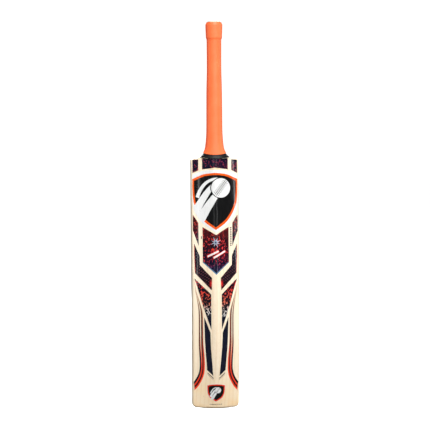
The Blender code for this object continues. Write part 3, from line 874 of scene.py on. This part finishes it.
def build_centre_panel(white, red):
    ground = [
        (299, srgb(7, 13, 42)), (325, srgb(7, 8, 34)), (350, srgb(12, 7, 26)), (372, srgb(26, 7, 18)),
        (392, srgb(58, 12, 18)), (404, srgb(72, 16, 20)),
    ]
    lines = [
        (299, srgb(44, 66, 126)), (316, srgb(96, 44, 84)), (330, srgb(206, 52, 60)), (350, srgb(226, 50, 52)),
        (404, srgb(204, 66, 58)),
    ]
    look = crackle("centre_panel_print", ground, lines, scale=0.23, width=0.12, share=0.2, fine=0.12)
    outline = both_halves([(0, 387), (29, 404.5), (29, 326), (0, 299)])
    lay("centre_panel_vinyl", outline, look, "label_maroon", "centre_panel")
    glow = vinyl("steel_glow", srgb(96, 128, 158))
    for side in (1, -1):
        strip = [(side * x, z) for x, z in ((0.2, 299.2), (28.6, 325.8), (28.6, 328.0), (0.2, 302.6))]
        name = "right" if side > 0 else "left"
        lay(f"centre_panel_glow_{name}", strip, glow, "label_maroon", layer=1)
    silver = vinyl("silver_print", srgb(176, 188, 206), 0.12)
    lay("centre_star", star(-1, 370.5, 13.0, 8, 0.26, math.pi / 8), silver, "label_maroon", layer=1)
    heart = vinyl("star_heart", srgb(70, 84, 110))
    lay("centre_star_heart", disc(-1, 370.5, 2.6, 24), heart, "label_maroon", layer=2)
    lay("centre_spark", star(-7.5, 355, 4.0, 4, 0.5), red, "label_maroon", layer=1)
    for n, (x0, z0, x1, z1) in enumerate(((-18, 337.5, 6, 349.5), (-5, 334.5, 21, 349.5))):
        back = slanted_bar(x0 - 1.2, z0 - 1.0, x1 + 1.0, z1 - 1.0, 5.6)
        lay(f"centre_bar_{n}_edge", back, red, "label_maroon", layer=1 + 2 * n)
        lay(f"centre_bar_{n}", slanted_bar(x0, z0, x1, z1, 3.4), white, "label_maroon", layer=2 + 2 * n)


def build_flank_panels():
    outline = [(47.75, 368), (36, 341), (35.5, 320.5), (9.75, 292), (10.5, 264.5), (46.3, 302.5), (47.5, 340)]
    lay_pair("flank_vinyl", outline, netting("flank_print"), "label_navy", "flank_panel")
    line = [(47.75, 368), (46.7, 360), (46.3, 340), (45.1, 304.5), (46.3, 302.5), (47.5, 340)]
    lay_pair("flank_edge_line", line, vinyl("flank_edge_ink", srgb(176, 44, 34)), "label_navy", layer=1)


def build_wedges():
    ground = [
        (177, NAVY), (206, NAVY), (209, srgb(24, 23, 32)), (222, srgb(14, 12, 22)), (291, srgb(8, 8, 26)),
    ]
    lines = [
        (177, NAVY), (205, NAVY), (209, srgb(226, 222, 218)), (221, srgb(214, 200, 192)),
        (236, srgb(226, 112, 84)),
        (262, srgb(232, 66, 52)), (282, srgb(196, 44, 48)), (291, srgb(60, 18, 34)),
    ]
    look = crackle("wedge_print", ground, lines, scale=0.2, width=0.14, share=0.55, fine=0.03)
    outline = [(47.75, 291), (11.6, 255.5), (11.6, 177), (30.3, 232), (38.5, 262)]
    lay_pair("wedge_vinyl", outline, look, "label_maroon", "wedge_panel")


def build_bars(navy):
    bar = smooth([(27, 205), (25.8, 165), (24.3, 135), (20.5, 87)], 3) + [(7, 74)]
    bar += smooth([(12.3, 135), (13.75, 171)], 2)
    lay_pair("navy_bar_vinyl", bar, navy, "label_navy", "navy_bar")
    line = [(6.2, 69.4), (6.2, 67.2), (19.6, 79.5), (19.6, 81.7)]
    lay_pair("chevron_vinyl", line, vinyl("chevron_ink", srgb(40, 32, 34)), "label_navy", "chevron_line")
    faint = [(6.2, 65.4), (6.2, 64.3), (19.6, 76.6), (19.6, 77.7)]
    lay_pair("chevron_shade", faint, vinyl("chevron_shade_ink", srgb(168, 134, 108)), "label_navy")


STRIPE_PATH = (
    ((47.6, 41.5), (49.6, 59)), ((40, 50), (45, 65.5)), ((34, 60), (40.8, 73)), ((29.5, 70), (38.2, 80)),
    ((26.8, 80), (36.6, 88)), ((25.7, 92), (36, 97)), ((26.3, 115), (36.6, 115)), ((29, 145), (38.1, 145)),
    ((29.8, 175), (38, 175)), ((30.5, 213), (38.4, 216)), ((34.5, 232), (41.5, 240)),
    ((43.3, 262), (46, 264)),
    ((47.4, 288), (48.9, 288)),
)


def stripe(low, high):
    """The part of the curved stripe between two shares of its width, from its inner edge to its outer."""
    one = [tuple(a + (b - a) * low for a, b in zip(inner, outer)) for inner, outer in STRIPE_PATH]
    two = [tuple(a + (b - a) * high for a, b in zip(inner, outer)) for inner, outer in STRIPE_PATH]
    return smooth(one, 5) + smooth(two, 5)[::-1]


def build_stripes():
    """Two curved red lines, each with a dark line outside it, which fade into the willow as they climb."""
    brown, pale = srgb(140, 60, 42), srgb(196, 154, 120)
    dusk = srgb(58, 36, 38)
    inner_red = [(40, RED), (100, RED), (150, brown), (205, srgb(128, 72, 52)), (245, pale), (290, WOOD)]
    outer_red = [
        (40, RED), (95, srgb(222, 58, 36)), (122, srgb(232, 120, 92)), (150, srgb(238, 190, 160)),
        (170, WOOD), (290, WOOD),
    ]
    outer_dark = [
        (40, BLACK), (112, NAVY), (140, srgb(86, 24, 26)), (215, srgb(98, 54, 44)), (258, pale), (290, WOOD),
    ]
    inner_dark = [(40, BLACK), (150, dusk), (220, srgb(80, 54, 48)), (262, srgb(160, 122, 94)), (290, WOOD)]
    bands = (
        ("inner_red", -0.02, 0.24, inner_red), ("inner_dark", 0.24, 0.5, inner_dark),
        ("outer_red", 0.5, 0.73, outer_red), ("outer_dark", 0.73, 1.06, outer_dark),
    )
    for n, (name, low, high, stops) in enumerate(bands):
        node = "edge_stripe" if n == 0 else None
        lay_pair(f"stripe_{name}", stripe(low, high), fading(name, stops), "label_red", node)


def build_small_marks(navy):
    """Plain ticks and dashes in the places where small print stands."""
    for n in range(11):
        z = 362.5 + 3.9 * n
        tick = [(32.2, z), (35.6, z), (35.6, z + 2.3), (32.2, z + 2.3)]
        lay(f"side_tick_{n}", tick, navy, "label_navy")
    lay("side_mark", [(-32.3, 378.5), (-30.6, 378.5), (-30.6, 384), (-32.3, 384)], navy, "label_navy")
    for n in range(7):
        x = -14 + 4.1 * n
        lay(f"toe_dash_{n}", [(x, 9.0), (x + 3.0, 9.0), (x + 3.0, 10.1), (x, 10.1)], navy, "label_navy")


def build_labels():
    white, orange = vinyl("white_vinyl", WHITE, 0.02), vinyl("orange_vinyl", ORANGE)
    black = vinyl("black_vinyl", BLACK)
    red, navy = vinyl("red_vinyl", RED), vinyl("navy_vinyl", NAVY, 0.1)
    build_shoulder_labels()
    build_shield(white, orange, black)
    build_upper_panels()
    build_centre_panel(white, red)
    build_flank_panels()
    build_wedges()
    build_bars(navy)
    build_stripes()
    build_badge(white, red, black)
    build_small_marks(navy)


# ---- stage ----


def look_at(obj, place, target, roll=0.0):
    away = Vector(place) - Vector(target)
    turn = away.to_track_quat("Z", "Y").to_matrix().to_4x4()
    obj.matrix_world = Matrix.Translation(place) @ turn @ Matrix.Rotation(math.radians(roll), 4, "Z")


def from_angle(azimuth, elevation, distance, target):
    a, e = math.radians(azimuth), math.radians(elevation)
    direction = Vector((math.sin(a) * math.cos(e), -math.cos(a) * math.cos(e), math.sin(e)))
    return Vector(target) + direction * distance


def add_camera():
    data = bpy.data.cameras.new("camera")
    data.sensor_width = SENSOR
    data.lens = SENSOR * VIEW_DISTANCE / VIEW_HEIGHT
    data.clip_end = 100.0
    camera = bpy.data.objects.new("camera", data)
    bpy.context.scene.collection.objects.link(camera)
    stand = from_angle(VIEW_AZIMUTH, VIEW_ELEVATION, VIEW_DISTANCE, VIEW_TARGET)
    look_at(camera, stand, VIEW_TARGET, VIEW_ROLL)
    bpy.context.scene.camera = camera


def add_softbox(name, azimuth, elevation, distance, size, watts):
    data = bpy.data.lights.new(name, "AREA")
    data.shape = "RECTANGLE"
    data.size, data.size_y = size
    data.energy = watts
    light = bpy.data.objects.new(name, data)
    bpy.context.scene.collection.objects.link(light)
    look_at(light, from_angle(azimuth, elevation, distance, LIGHT_TARGET), LIGHT_TARGET)


def keep_light_off(obj):
    """A white surround that lights and reflects in nothing, so that dark print stays dark."""
    obj.visible_diffuse = False
    obj.visible_glossy = False
    obj.visible_shadow = False


def add_surround():
    bm = bmesh.new()
    bmesh.ops.create_grid(bm, x_segments=8, y_segments=8, size=FLOOR_REACH)
    floor = finish_mesh(bm, "floor")
    floor.location.z = -FLOOR_DROP
    floor.data.materials.append(backdrop("floor_paper", 0.9))
    keep_light_off(floor)
    bm = bmesh.new()
    bmesh.ops.create_uvsphere(bm, u_segments=48, v_segments=24, radius=FLOOR_REACH)
    shell = finish_mesh(bm, "backdrop")
    shell.data.materials.append(backdrop("backdrop_paper", 1.0))
    keep_light_off(shell)


def add_world():
    world = bpy.data.worlds.new("studio")
    bpy.context.scene.world = world
    world.use_nodes = True
    background = world.node_tree.nodes["Background"]
    background.inputs["Color"].default_value = (1.0, 1.0, 1.0, 1.0)
    background.inputs["Strength"].default_value = AMBIENT


def build_stage():
    bpy.context.scene.view_settings.view_transform = "Standard"
    add_camera()
    add_world()
    add_surround()
    for box in SOFTBOXES:
        add_softbox(*box)


build_stage()
build_blade()
finish_cad_nodes()
build_neck_binding()
build_grip()
build_labels()
